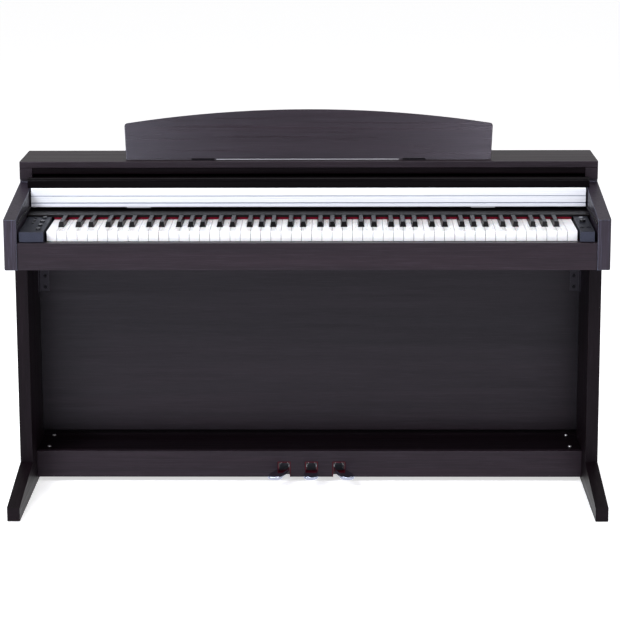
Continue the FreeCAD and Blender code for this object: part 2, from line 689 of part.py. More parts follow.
grips = new_body("cover_grips")
for x in ("grip_left_x", "grip_right_x"):
    sk = new_sketch(grips, "YZ_Plane", S(x))
    polygon(sk, [
        (D(S("leaf_y") + 0.8), S("leaf_low_z")), (D(S("leaf_y") + 0.8), S("leaf_low_z") - 1.5), (D(S("leaf_y") + 1.8), S("leaf_low_z") - 2.5),
        (D(S("leaf_back_y") - 1), S("leaf_low_z") - 2.5), (D(S("leaf_back_y")), S("leaf_low_z") - 1.5), (D(S("leaf_back_y")), S("leaf_low_z")),
    ])
    pad(grips, sk, S("grip_wide"))

# ----------------------------------------------------------- music rest

lean = Rotation(Vector(1, 0, 0), -S("rest_lean").v)
rest = new_body("music_rest", (0.0, D(S("rest_axis_y")), S("rest_axis_z")))
rest.Placement = Placement(rest.Placement.Base, lean)
sk = new_sketch(rest, "XZ_Plane", S("rest_thick") - 3)
low, w0, w1, side, high = Size.of(-6.0), S("rest_half"), S("rest_top_half"), S("rest_side"), S("rest_high")
rise = high - side
radius = (w1 * w1 + rise * rise) / (2 * rise)
pts = [(-w1, side), (-w0, low), (w0, low), (w1, side)]
for i in range(3):
    a, b = pts[i], pts[i + 1]
    sk.addGeometry(Part.LineSegment(Vector(a[0].v, a[1].v, 0), Vector(b[0].v, b[1].v, 0)), False)
arc = Part.Arc(Vector(w1.v, side.v, 0), Vector(0, high.v, 0), Vector(-w1.v, side.v, 0))
sk.addGeometry(arc, False)
sk.addConstraint(Sketcher.Constraint("Coincident", 0, 2, 1, 1))
sk.addConstraint(Sketcher.Constraint("Coincident", 1, 2, 2, 1))
sk.addConstraint(Sketcher.Constraint("Coincident", 2, 2, 3, 1))
sk.addConstraint(Sketcher.Constraint("Coincident", 3, 2, 0, 1))
for g in range(3):
    fix_point(sk, g, 1, pts[g][0], pts[g][1])
fix_point(sk, 2, 2, pts[3][0], pts[3][1])
n = sk.addConstraint(Sketcher.Constraint("Radius", 3, radius.v))
bind(sk, "Constraints[%d]" % n, radius)
pad(rest, sk, S("rest_thick"), back=True)
sk = new_sketch(rest, "XZ_Plane")
for side_sign in (-1, 1):
    mid = side_sign * S("hinge_x")
    rectangle(sk, mid - S("hinge_wide") / 2, -7.0, mid + S("hinge_wide") / 2, -2.4)
pocket(rest, sk)
for side_sign in (-1, 1):                              # room for the hinge behind the front face
    sk = new_sketch(rest, "YZ_Plane", side_sign * S("hinge_x") - S("hinge_wide") / 2)
    polygon(sk, [(-4.6, -7.0), (-4.6, 5.0), (3.4, 5.0), (3.4, -7.0)])
    before = rest.Tip.Shape.Volume
    f = rest.newObject("PartDesign::Pocket", "music_rest_recess")
    f.Profile = sk
    f.Length = S("hinge_wide").v
    bind(f, "Length", S("hinge_wide"))
    f.Reversed = True
    rest.Tip = f
    doc.recompute()
    state_ok(f)
    if f.Shape.Volume > before - 1000:
        raise RuntimeError("no recess cut")
sk = new_sketch(rest, "YZ_Plane")                      # bevel that clears the lid as the rest folds back
polygon(sk, [(-9.0, -6.2), (3.4, -6.2), (3.4, -0.9)])
pocket(rest, sk)
dress(rest, "Fillet", lambda b, e: b.XLength < 0.02 and b.ZLength < 0.02 and b.YLength > 5 and b.ZMin > 20, 8.0)


def front_outline(b, e):
    return b.YMax < -8.98 and b.ZMax > 6


dress(rest, "Fillet", front_outline, 1.5)

hinges = new_body("rest_hinges", (0.0, D(S("rest_axis_y")), S("rest_axis_z")))
top_z = S("lid_under_z") + S("lid_thick") - S("rest_axis_z")
for side_sign in (-1, 1):
    x0 = side_sign * S("hinge_x") - S("hinge_wide") / 2 + 0.6
    wide = S("hinge_wide") - 1.2
    sk = new_sketch(hinges, "YZ_Plane", x0)            # plate screwed to the lid, in front of the pin
    rectangle(sk, -13.0, top_z, -3.3, top_z + 1.4)
    pad(hinges, sk, wide)
    for a in (0.0, 38.2):
        sk = new_sketch(hinges, "YZ_Plane", x0 + a)
        rectangle(sk, -4.0, top_z, 1.4, top_z + 1.4)
        pad(hinges, sk, 17.6)
        sk = new_sketch(hinges, "YZ_Plane", x0 + a)
        circle(sk, 0.0, 0.0, 2.6)
        pad(hinges, sk, 17.6)
    sk = new_sketch(hinges, "YZ_Plane", x0)            # pin
    circle(sk, 0.0, 0.0, S("pin_rad"))
    pad(hinges, sk, wide)

leaves = new_body("rest_hinge_leaves", (0.0, D(S("rest_axis_y")), S("rest_axis_z")))
leaves.Placement = Placement(leaves.Placement.Base, lean)
for side_sign in (-1, 1):
    x0 = side_sign * S("hinge_x") - 9.5
    sk = new_sketch(leaves, "YZ_Plane", x0)
    circle(sk, 0.0, 0.0, 2.6)
    pad(leaves, sk, 19.0)
    sk = new_sketch(leaves, "YZ_Plane", x0)
    polygon(sk, [(-2.4, 1.0), (-2.4, 5.0), (2.4, 5.0), (2.4, 1.0)])
    pad(leaves, sk, 19.0)
sk = new_sketch(leaves, "YZ_Plane")
circle(sk, 0.0, 0.0, S("knuckle_bore"))
pocket(leaves, sk)

# ---------------------------------------------------------------- inside

speakers = new_body("speakers")
sk = new_sketch(speakers, "XZ_Plane", -(D(S("speaker_y"))))
z0 = bed_top
cx = S("speaker_x")
polygon(sk, [
    (cx, z0 + 16), (cx + 16, z0 + 14), (cx + 46, z0 + 1), (cx + 58, z0), (cx + 58, z0 + 3),
    (cx + 48, z0 + 3.5), (cx + 32, z0 + 20), (cx + 32, z0 + 40), (cx, z0 + 40),
])
f = speakers.newObject("PartDesign::Revolution", "speakers_turn")
f.Profile = sk
axis_line = new_sketch(speakers, "XZ_Plane", -(D(S("speaker_y"))))
axis_line.addGeometry(Part.LineSegment(Vector(cx.v, z0.v, 0), Vector(cx.v, z0.v + 50, 0)), False)
fix_point(axis_line, 0, 1, cx, z0)
fix_point(axis_line, 0, 2, cx, z0 + 50)
f.ReferenceAxis = (axis_line, ["Edge1"])
f.Angle = 360
speakers.Tip = f
doc.recompute()
state_ok(f)
mirror(speakers)

board = block("main_board", -190.0, 190.0, D(318.0), D(438.0), bed_top + 8, bed_top + 9.6)
for x, y, dx, dy, h in ((60, 30, 36, 36, 5.0), (150, 40, 24, 24, 4.0), (220, 24, 60, 20, 12.0), (300, 60, 22, 30, 18.0), (30, 90, 40, 16, 9.0)):
    sk = new_sketch(board, "XY_Plane", 1.6)
    rectangle(sk, float(x), float(y), float(x + dx), float(y + dy))
    pad(board, sk, h)
for x, y in ((10, 10), (370, 10), (10, 110), (370, 110)):
    sk = new_sketch(board, "XY_Plane")
    circle(sk, float(x), float(y), 4.0)
    pad(board, sk, 8.0, back=True)

sockets = block("rear_sockets", -559.7, -440.3, D(S("back_y") - 6), D(S("back_y")), bed_top + 46.3, bed_top + 95.7)
sk = new_sketch(sockets, "XZ_Plane")
circle(sk, 20.0, 25.0, 3.1)
circle(sk, 52.0, 25.0, S("jack_bore"))
circle(sk, 76.0, 25.0, S("jack_bore"))
rectangle(sk, 95.0, 20.0, 107.0, 30.5)
pocket(sockets, sk)

# ----------------------------------------------------------------- stand

leg_top = S("arm_base_z")
legs = new_body("legs")
sk = new_sketch(legs, "XY_Plane", S("leg_low_z"))
rectangle(sk, INNER, D(S("leg_y")), HALF, D(S("leg_rear_y")))
pad(legs, sk, leg_top - S("leg_low_z"))
dress(legs, "Fillet", along("z", y=D(S("leg_y"))), 2.0)
mirror(legs)

feet = new_body("feet")
sk = new_sketch(feet, "YZ_Plane", INNER)
polygon(sk, [
    (D(S("foot_y")), S("pad_high")), (D(S("foot_y")), S("foot_tip_z")), (D(S("leg_y")), S("leg_low_z")),
    (D(S("leg_rear_y")), S("leg_low_z")), (D(S("back_y")), S("leg_low_z") - 18), (D(S("back_y")), S("pad_high")),
])
pad(feet, sk, S("side_thick"))
dress(feet, "Fillet", along("z", x=HALF, y=D(S("foot_y"))), 4.0)
mirror(feet)

pads = new_body("foot_pads")
for y in (-58.0, 438.0):
    sk = new_sketch(pads, "XY_Plane")
    rectangle(sk, INNER + 6, D(y), HALF - 6, D(y + 32))
    pad(pads, sk, S("pad_high"))
mirror(pads)

shelf = block("pedal_shelf", -FIT, FIT, D(S("shelf_y")), D(S("rear_y") + S("rear_thick") + 15), S("shelf_top_z") - S("shelf_thick"), S("shelf_top_z"))
rail = block("rear_rail", -FIT, FIT, D(S("rear_y") + S("rear_thick")), D(S("rear_y") + S("rear_thick") + 15), S("shelf_top_z"), S("shelf_top_z") + 60)
rear = block("rear_panel", -FIT, FIT, D(S("rear_y")), D(S("rear_y") + S("rear_thick")), S("rear_low_z"), leg_top - 0.3)

pboard = new_body("pedal_board", (0.0, D(S("pedal_board_y")), 0.0))
sk = new_sketch(pboard, "XZ_Plane")
outline = [(-FIT, S("pedal_board_z"))]
for n in (-1, 0, 1):
    mid = S("pedal_x") + n * S("pedal_pitch")
    outline += [
        (mid - S("notch_wide") / 2, S("pedal_board_z")), (mid - S("notch_wide") / 2, S("notch_top_z")),
        (mid + S("notch_wide") / 2, S("notch_top_z")), (mid + S("notch_wide") / 2, S("pedal_board_z")),
    ]
outline += [(FIT, S("pedal_board_z")), (FIT, S("shelf_top_z")), (-FIT, S("shelf_top_z"))]
polygon(sk, outline)
pad(pboard, sk, S("shelf_y") - S("pedal_board_y"), back=True)
dress(pboard, "Fillet", along("x", y=0.0, z=S("shelf_top_z")), 1.5)

# felt lining round each pedal notch
lining = new_body("pedal_lining", (0.0, D(S("pedal_board_y")), 0.0))
felt_thick = 1.6
for n in (-1, 0, 1):
    mid = S("pedal_x") + n * S("pedal_pitch")
    w, t = S("notch_wide") / 2, felt_thick
    sk = new_sketch(lining, "XZ_Plane", 0.6)
    polygon(sk, [
        (mid - w, S("pedal_board_z")), (mid - w, S("notch_top_z")), (mid + w, S("notch_top_z")), (mid + w, S("pedal_board_z")),
        (mid + w - t, S("pedal_board_z")), (mid + w - t, S("notch_top_z") - t), (mid - w + t, S("notch_top_z") - t), (mid - w + t, S("pedal_board_z")),
    ])
    pad(lining, sk, 14.6, back=True)

# steel frame that holds the three pedals behind the board
frame_low, frame_top = 20.0, S("shelf_top_z") - S("shelf_thick")
pframe = block("pedal_frame", S("pedal_x") - 110, S("pedal_x") + 110, D(S("shelf_y") + 6), D(372.0), frame_top - 3, frame_top)
for n in (-1, 0, 1):
    for s in (-1, 1):
        sk = new_sketch(pframe, "XY_Plane", -(frame_top - 3 - 34))
        x = 110 + n * S("pedal_pitch") + s * 16
        rectangle(sk, x - 1.5, S("pedal_pivot_y") - S("shelf_y") - 6 - 14, x + 1.5, S("pedal_pivot_y") - S("shelf_y") - 6 + 14)
        pad(pframe, sk, frame_top - 3 - 34)
for x in (0.0, 218.0):                                # side walls and floor of the pedal box
    sk = new_sketch(pframe, "XY_Plane", -(frame_top - 3 - 14))
    rectangle(sk, x, 0.0, x + 2, 372.0 - (S("shelf_y") + 6))
    pad(pframe, sk, frame_top - 3 - 14)
sk = new_sketch(pframe, "XY_Plane", -(frame_top - 3 - 14))
rectangle(sk, 0.0, 0.0, 220.0, 372.0 - (S("shelf_y") + 6))
pad(pframe, sk, 2.0)
sk = new_sketch(pframe, "YZ_Plane", 110 - S("pedal_pitch") - 20)      # pivot rod
circle(sk, S("pedal_pivot_y") - S("shelf_y") - 6, S("pedal_pivot_z") - (frame_top - 3), 3.0)
pad(pframe, sk, 2 * S("pedal_pitch") + 40)


def pedal(label, n, lean_x):
    """A pedal blade: outline drawn from above, with a rounded tip that turns outwards."""
    mid = S("pedal_x") + n * S("pedal_pitch")
    body = new_body(label, (mid, D(S("pedal_pivot_y")), S("pedal_pivot_z")))
    body.Placement = Placement(body.Placement.Base, Rotation(Vector(1, 0, 0), 4.5))
    reach = S("pedal_pivot_y") - S("pedal_tip_y")
    sk = new_sketch(body, "XY_Plane", -7.0)
    tip = -reach
    left = [(-8.0, Size.of(6.0)), (-8.0, Size.of(-60.0)), (-12.2, Size.of(-72.0)), (-12.2, Size.of(-97.0)),
            (-15.5 + lean_x * 0.4, tip + 44), (-17.5 + lean_x * 0.8, tip + 25), (-17.5 + lean_x, tip + 11), (-11.5 + lean_x, tip + 2.5)]
    right = [(-x + (2 * lean_x * k), y) for (x, y), k in zip(left, (0, 0, 0, 0, 0.4, 0.8, 1, 1))]
    polygon(sk, left + [(lean_x, tip)] + right[::-1])
    pad(body, sk, 9.0)

    def bends(b, e):
        return b.XLength < 0.02 and b.YLength < 0.02 and b.ZLength > 5 and b.YMax < -50
    dress(body, "Fillet", bends, 4.0)

    def rim(b, e):
        return b.ZLength < 0.02 and b.YMin < -61 and b.YMax < -59
    dress(body, "Fillet", rim, 2.6)
    sk = new_sketch(body, "YZ_Plane", -8.0)
    circle(sk, 0.0, 0.0, 7.0)
    pad(body, sk, 16.0)
    sk = new_sketch(body, "YZ_Plane")
    circle(sk, 0.0, 0.0, 3.08)
    pocket(body, sk)
    return body


pedal("left_pedal", -1, -21.0)
pedal("middle_pedal", 0, -1.0)
pedal("right_pedal", 1, 20.5)

brackets = new_body("corner_brackets", (0.0, D(S("rear_y")), 452.0))
sk = new_sketch(brackets, "XY_Plane")
polygon(sk, [(INNER, 0.0), (INNER - 24, 0.0), (INNER - 24, -2.0), (INNER - 2, -2.0), (INNER - 2, -24.0), (INNER, -24.0)])
pad(brackets, sk, 62.0)
sk = new_sketch(brackets, "XZ_Plane")
for z in (10.0, 38.0):
    circle(sk, INNER - 15, z, 2.4)
pocket(brackets, sk, 6.0)
mirror(brackets)

screws = new_body("stand_screws")
for x, y in ((640.0, 290.0), (640.0, 392.0)):         # shelf screws
    sk = new_sketch(screws, "XY_Plane", S("shelf_top_z"))
    circle(sk, x, D(y), 4.5)
    pad(screws, sk, 2.2)
    dress(screws, "Fillet", lambda b, e: near(b.ZMin, S("shelf_top_z").v + 2.2) and b.ZLength < 0.02 and near(b.YMin + b.YMax, 2 * D(y).v, 0.1), 1.4)
    sk = new_sketch(screws, "XY_Plane", S("shelf_top_z"))
    circle(sk, x, D(y), 2.0)
    pad(screws, sk, 12.0, back=True)
for z in (462.0, 490.0):                              # bracket screws, heads on the bracket
    sk = new_sketch(screws, "XZ_Plane", -(D(S("rear_y"))) + 2.0)
    circle(sk, INNER - 15, z, 4.2)
    pad(screws, sk, 1.8)
    sk = new_sketch(screws, "XZ_Plane", -(D(S("rear_y"))) + 2.0)
    circle(sk, INNER - 15, z, 2.0)
    pad(screws, sk, 10.0, back=True)
mirror(screws)

# ------------------------------------------------------------------ write

doc.recompute()
for obj in doc.Objects:
    state_ok(obj)
os.makedirs("parts", exist_ok=True)
low_corner, high_corner = [1e9] * 3, [-1e9] * 3
for body in PARTS:
    shape = body.Shape
    if shape.isNull() or not shape.isValid():
        raise RuntimeError(body.Label + " has no valid shape")
    solids = shape.Solids
    bb = shape.BoundBox
    low_corner = [min(a, b) for a, b in zip(low_corner, (bb.XMin, bb.YMin, bb.ZMin))]
    high_corner = [max(a, b) for a, b in zip(high_corner, (bb.XMax, bb.YMax, bb.ZMax))]
    print("%-22s %2d solids %9.1f cm3  x %8.1f %8.1f  y %8.1f %8.1f  z %7.1f %7.1f" % (
        body.Label, len(solids), shape.Volume / 1000, bb.XMin, bb.XMax, bb.YMin, bb.YMax, bb.ZMin, bb.ZMax))
    shape.exportStep("parts/%s.step" % body.Label)
print(len(PARTS), "nodes", [round(a, 2) for a in low_corner], [round(a, 2) for a in high_corner])
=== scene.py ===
import math

import bmesh
import bpy
from mathutils import Matrix, Vector


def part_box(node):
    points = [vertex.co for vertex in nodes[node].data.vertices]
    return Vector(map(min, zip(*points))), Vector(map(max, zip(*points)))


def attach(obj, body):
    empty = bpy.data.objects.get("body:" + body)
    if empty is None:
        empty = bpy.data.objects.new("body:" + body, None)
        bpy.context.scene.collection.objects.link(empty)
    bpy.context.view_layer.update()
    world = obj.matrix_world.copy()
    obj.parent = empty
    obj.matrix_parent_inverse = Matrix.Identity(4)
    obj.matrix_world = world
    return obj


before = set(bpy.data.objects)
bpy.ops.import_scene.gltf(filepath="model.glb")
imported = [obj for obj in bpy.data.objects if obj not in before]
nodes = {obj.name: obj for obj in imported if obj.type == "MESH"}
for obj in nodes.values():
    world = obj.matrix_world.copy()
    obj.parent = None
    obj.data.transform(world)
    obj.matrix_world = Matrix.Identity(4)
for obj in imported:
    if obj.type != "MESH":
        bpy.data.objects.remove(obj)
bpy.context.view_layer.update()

scene = bpy.context.scene
scene.view_settings.view_transform = "Standard"
scene.view_settings.look = "None"


# ------------------------------------------------------------- camera

def make_camera():
    theta, psi, rho = math.radians(11.517), math.radians(-0.762), math.radians(0.188)
    fwd = Vector((math.sin(psi) * math.cos(theta), math.cos(psi) * math.cos(theta), -math.sin(theta)))
    right = Vector((math.cos(psi), -math.sin(psi), 0.0))
    down = fwd.cross(right)
    r2 = right * math.cos(rho) + down * math.sin(rho)
    d2 = -right * math.sin(rho) + down * math.cos(rho)
    data = bpy.data.cameras.new("camera")
    data.sensor_width = 36.0
    data.lens = 2332.5 / 620.0 * 36.0
    data.shift_y = -30.0 / 620.0
    data.clip_start, data.clip_end = 0.1, 100.0
    cam = bpy.data.objects.new("camera", data)
    scene.collection.objects.link(cam)
    m = Matrix((r2, -d2, -fwd)).transposed().to_4x4()
    m.translation = Vector((0.0770, -5.4524, 1.6258))
    cam.matrix_world = m
    scene.camera = cam


make_camera()


# ---------------------------------------------------------- materials

def lin(c):
    """Linear colour from sRGB 0-255 values."""
    out = []
    for v in c:
        v = v / 255.0
        out.append(v / 12.92 if v <= 0.04045 else ((v + 0.055) / 1.055) ** 2.4)
    return (*out, 1.0)


class Shader:
    """A principled material with a few shorthand calls for its node tree."""

    def __init__(self, name, **sockets):
        self.mat = bpy.data.materials.new(name)
        self.mat.use_nodes = True
        self.tree = self.mat.node_tree
        self.bsdf = self.tree.nodes["Principled BSDF"]
        for k, v in sockets.items():
            self.bsdf.inputs[k.replace("_", " ")].default_value = v
        self.mat.diffuse_color = self.bsdf.inputs["Base Color"].default_value
        self.coord = self.node("ShaderNodeTexCoord").outputs["Object"]

    def node(self, kind, **props):
        n = self.tree.nodes.new(kind)
        for k, v in props.items():
            setattr(n, k, v)
        return n

    def link(self, a, b):
        self.tree.links.new(a, b)

    def place(self, scale, turn=(0, 0, 0)):
        m = self.node("ShaderNodeMapping")
        m.inputs["Scale"].default_value = scale
        m.inputs["Rotation"].default_value = turn
        self.link(self.coord, m.inputs["Vector"])
        return m.outputs["Vector"]

    def noise(self, scale, vector=None, detail=3.0, rough=0.5, distortion=0.0):
        n = self.node("ShaderNodeTexNoise")
        n.inputs["Scale"].default_value = scale
        n.inputs["Detail"].default_value = detail
        n.inputs["Roughness"].default_value = rough
        n.inputs["Distortion"].default_value = distortion
        self.link(vector if vector is not None else self.coord, n.inputs["Vector"])
        return n.outputs["Fac"]

    def voronoi(self, scale, vector=None, feature="F1"):
        n = self.node("ShaderNodeTexVoronoi", feature=feature)
        n.inputs["Scale"].default_value = scale
        self.link(vector if vector is not None else self.coord, n.inputs["Vector"])
        return n.outputs["Distance"]

    def ramp(self, fac, stops):
        r = self.node("ShaderNodeValToRGB")
        els = r.color_ramp.elements
        while len(els) < len(stops):
            els.new(0.5)
        for e, (pos, col) in zip(els, stops):
            e.position = pos
            e.color = col if len(col) == 4 else (*col, 1.0)
        self.link(fac, r.inputs["Fac"])
        return r.outputs["Color"]

    def span(self, fac, lo, hi, to_lo, to_hi):
        r = self.node("ShaderNodeMapRange")
        for k, v in (("From Min", lo), ("From Max", hi), ("To Min", to_lo), ("To Max", to_hi)):
            r.inputs[k].default_value = v
        self.link(fac, r.inputs["Value"])
        return r.outputs["Result"]

    def math(self, op, a, b):
        m = self.node("ShaderNodeMath", operation=op)
        for i, x in enumerate((a, b)):
            if isinstance(x, (int, float)):
                m.inputs[i].default_value = x
            else:
                self.link(x, m.inputs[i])
        return m.outputs[0]

    def mix(self, fac, a, b, mode="MIX"):
        m = self.node("ShaderNodeMix", data_type="RGBA", blend_type=mode)
        for i, x in ((0, fac), (6, a), (7, b)):
            if isinstance(x, (int, float, tuple)):
                m.inputs[i].default_value = x
            else:
                self.link(x, m.inputs[i])
        return m.outputs[2]

    def edge(self, radius):
        """0 on flat faces, towards 1 on edges, and the rounded normal."""
        bev = self.node("ShaderNodeBevel", samples=4)
        bev.inputs["Radius"].default_value = radius
        geo = self.node("ShaderNodeNewGeometry")
        dot = self.node("ShaderNodeVectorMath", operation="DOT_PRODUCT")
        self.link(bev.outputs["Normal"], dot.inputs[0])
        self.link(geo.outputs["Normal"], dot.inputs[1])
        return self.span(dot.outputs["Value"], 0.97, 0.75, 0.0, 1.0), bev.outputs["Normal"]

    def bump(self, layers, normal=None):
        """layers is a list of (height, strength, distance)."""
        for height, strength, distance in layers:
            b = self.node("ShaderNodeBump")
            b.inputs["Strength"].default_value = strength
            b.inputs["Distance"].default_value = distance
            self.link(height, b.inputs["Height"])
            if normal is not None:
                self.link(normal, b.inputs["Normal"])
            normal = b.outputs["Normal"]
        self.link(normal, self.bsdf.inputs["Normal"])

    def out(self, socket, value):
        self.link(value, self.bsdf.inputs[socket])


def axis_scale(axis, along, across):
    return tuple(along if a == axis else across for a in "xyz")


def rosewood(name, axis, tone=0.24, rough=0.40, spec=0.22, speckle=0.35, rim=0.35, rim_colour=(104, 90, 98), rim_wide=0.0012, shade=0.0, ior=1.5, tint=(1.0, 1.0, 1.0), wave=0.6, lit_side_colour=None):
    s = Shader(name, Specular_IOR_Level=spec, IOR=ior, Coat_Weight=0.06, Coat_Roughness=0.26)
    s.bsdf.inputs["Specular Tint"].default_value = (0.84, 0.84, 1.0, 1.0)
    broad = s.noise(1.0, s.place(axis_scale(axis, 1.1, 26.0)), 4.0, 0.55, wave)
    streak = s.noise(1.0, s.place(axis_scale(axis, 2.6, 150.0)), 3.0, 0.6)
    fibre = s.noise(1.0, s.place(axis_scale(axis, 14.0, 700.0)), 2.0, 0.6)
    pores = s.noise(1.0, s.place(axis_scale(axis, 30.0, 1100.0)), 1.0, 0.5)

    def t(c):
        r, g, b, _ = lin(c)
        return (r * tone * tint[0], g * tone * tint[1], b * tone * tint[2], 1.0)
    col = s.ramp(broad, [(0.30, t((44, 27, 35))), (0.52, t((56, 37, 47))), (0.72, t((66, 45, 56)))])
    col = s.mix(s.span(streak, 0.38, 0.66, 0.0, 0.45), col, t((34, 20, 27)))
    col = s.mix(s.span(fibre, 0.50, 0.72, 0.0, speckle), col, t((100, 84, 100)))
    dark = s.span(pores, 0.66, 0.74, 0.0, 1.0)
    col = s.mix(s.math("MULTIPLY", dark, 0.6), col, t((16, 11, 14)))
    if lit_side_colour:                                # painted light: outward side faces are painted lighter, as if lit, while the front faces keep the darker shaded tone
        geo = s.node("ShaderNodeNewGeometry")
        nrm, pos = s.node("ShaderNodeSeparateXYZ"), s.node("ShaderNodeSeparateXYZ")
        s.link(geo.outputs["True Normal"], nrm.inputs[0])
        s.link(s.coord, pos.inputs[0])
        side = s.span(s.math("MULTIPLY", nrm.outputs["X"], pos.outputs["X"]), 0.3, 0.6, 0.0, 0.6)
        col = s.mix(side, col, t(lit_side_colour))
    # Lighter rims on the edges: edge wear and painted highlight; the near-white rims of the rest and the pale bluish
    # rims of the arms are painted highlights.
    edge_mask, rounded = s.edge(rim_wide)
    col = s.mix(s.math("MULTIPLY", edge_mask, rim), col, t(rim_colour))
    if shade:                                # painted shade: base colour darkened by ambient occlusion in corners and next to nearby parts
        ao = s.node("ShaderNodeAmbientOcclusion", samples=8)
        ao.inputs["Distance"].default_value = shade
        col = s.mix(s.span(ao.outputs["AO"], 0.25, 0.8, 0.85, 0.0), col, t((12, 8, 10)))
    s.out("Base Color", col)
    r = s.math("ADD", s.span(streak, 0.3, 0.7, rough - 0.05, rough + 0.07), s.math("MULTIPLY", dark, 0.12))
    s.out("Roughness", r)
    s.bump([(fibre, 0.22, 0.0004), (streak, 0.12, 0.0006), (pores, 0.15, 0.0003)], rounded)
    return s.mat


def plastic(name, colour, second=None, rough=0.4, spec=0.5, grain=900.0, bump=0.2, bevel=0.0006, speck=0.3, coat=0.0, edge=0.25, edge_colour=None, ior=1.5):
    s = Shader(name, Specular_IOR_Level=spec, IOR=ior, Coat_Weight=coat, Coat_Roughness=0.12)
    fine = s.noise(grain, None, 2.0, 0.6)
    wide = s.noise(9.0, None, 4.0, 0.6)
    col = s.mix(s.span(wide, 0.3, 0.7, 0.0, 1.0), colour, second or colour)
    col = s.mix(s.span(fine, 0.45, 0.75, 0.0, speck), col, tuple(min(1.0, c * 1.6 + 0.004) for c in colour[:3]) + (1.0,))
    # Lighter edges: edge wear and painted highlight.
    edge_mask, rounded = s.edge(bevel)
    col = s.mix(s.math("MULTIPLY", edge_mask, edge), col, edge_colour or tuple(min(1.0, c * 1.5 + 0.02) for c in colour[:3]) + (1.0,))
    s.out("Base Color", col)
    s.out("Roughness", s.span(s.math("ADD", fine, wide), 0.7, 1.3, rough - 0.04, rough + 0.06))
    s.bump([(fine, bump, 0.0002)], rounded)
    return s.mat


def metal(name, colour, rough=0.25, axis=None, bump=0.08, bevel=0.0006, metallic=1.0, along=8.0, across=1400.0):
    s = Shader(name, Metallic=metallic, Specular_IOR_Level=0.5)
    if axis:
        brush = s.noise(1.0, s.place(axis_scale(axis, along, across)), 3.0, 0.6)
    else:
        brush = s.noise(420.0, None, 3.0, 0.6)
    smudge = s.noise(7.0, None, 4.0, 0.6)
    dull = tuple(c * 0.86 for c in colour[:3]) + (1.0,)
    s.out("Base Color", s.mix(s.span(brush, 0.35, 0.7, 0.0, 0.7), colour, dull))
    s.out("Roughness", s.math("ADD", s.span(brush, 0.3, 0.7, rough - 0.04, rough + 0.05), s.span(smudge, 0.3, 0.7, 0.0, 0.06)))
    edge_mask, rounded = s.edge(bevel)
    s.bump([(brush, bump, 0.0002)], rounded)
    return s.mat


def felt(name, colour):
    s = Shader(name, Roughness=0.95, Specular_IOR_Level=0.1, Sheen_Weight=0.5, Sheen_Roughness=0.5)
    s.bsdf.inputs["Sheen Tint"].default_value = lin((220, 70, 90))
    fuzz = s.noise(1500.0, None, 3.0, 0.7)
    wide = s.noise(60.0, None, 3.0, 0.6)
    col = s.ramp(fuzz, [(0.3, tuple(c * 0.5 for c in colour[:3])), (0.55, colour[:3]), (0.8, tuple(min(1, c * 1.7) for c in colour[:3]))])
    col = s.mix(s.span(wide, 0.35, 0.7, 0.0, 0.4), col, tuple(c * 0.6 for c in colour[:3]) + (1.0,))
    s.out("Base Color", col)
    s.bump([(fuzz, 0.6, 0.0006)])
    return s.mat


def ivory():
    s = Shader("key_white", Specular_IOR_Level=0.5, Coat_Weight=0.35, Coat_Roughness=0.1, Subsurface_Weight=0.06, Subsurface_Scale=0.002)
    wide = s.noise(14.0, None, 3.0, 0.6)
    fine = s.noise(380.0, None, 2.0, 0.5)
    rub = s.noise(1.0, s.place((70.0, 6.0, 70.0)), 3.0, 0.6)
    col = s.ramp(wide, [(0.3, lin((222, 222, 224))), (0.7, lin((232, 232, 233)))])
    col = s.mix(s.span(fine, 0.5, 0.8, 0.0, 0.12), col, lin((214, 214, 215)))
    # Painted shade: the key edges are darkened towards grey, standing for the shade in the gaps between the keys.
    edge_mask, rounded = s.edge(0.0012)
    col = s.mix(s.math("MULTIPLY", edge_mask, 0.55), col, lin((150, 150, 158)))
    s.out("Base Color", col)
    s.out("Roughness", s.span(rub, 0.3, 0.7, 0.24, 0.34))
    s.bump([(fine, 0.05, 0.0002)], rounded)
    return s.mat


def screw():
    s = Shader("stand_screw_metal", Metallic=0.85, Specular_IOR_Level=0.5)
    xyz = s.node("ShaderNodeSeparateXYZ")
    s.link(s.coord, xyz.inputs[0])
    # Painted shade: screw heads higher than about 0.25 m are painted near-black, the lower ones stay bright.
    shaded_upper = s.span(xyz.outputs["Z"], 0.2, 0.3, 0.0, 1.0)
    grain = s.noise(800.0, None, 3.0, 0.6)
    col = s.mix(s.span(grain, 0.4, 0.7, 0.0, 0.5), lin((238, 236, 238)), lin((206, 203, 206)))
    s.out("Base Color", s.mix(shaded_upper, col, lin((16, 15, 20))))
    s.out("Roughness", s.span(grain, 0.3, 0.7, 0.28, 0.42))
    edge_mask, rounded = s.edge(0.0006)
    s.bump([(grain, 0.1, 0.0002)], rounded)
    return s.mat


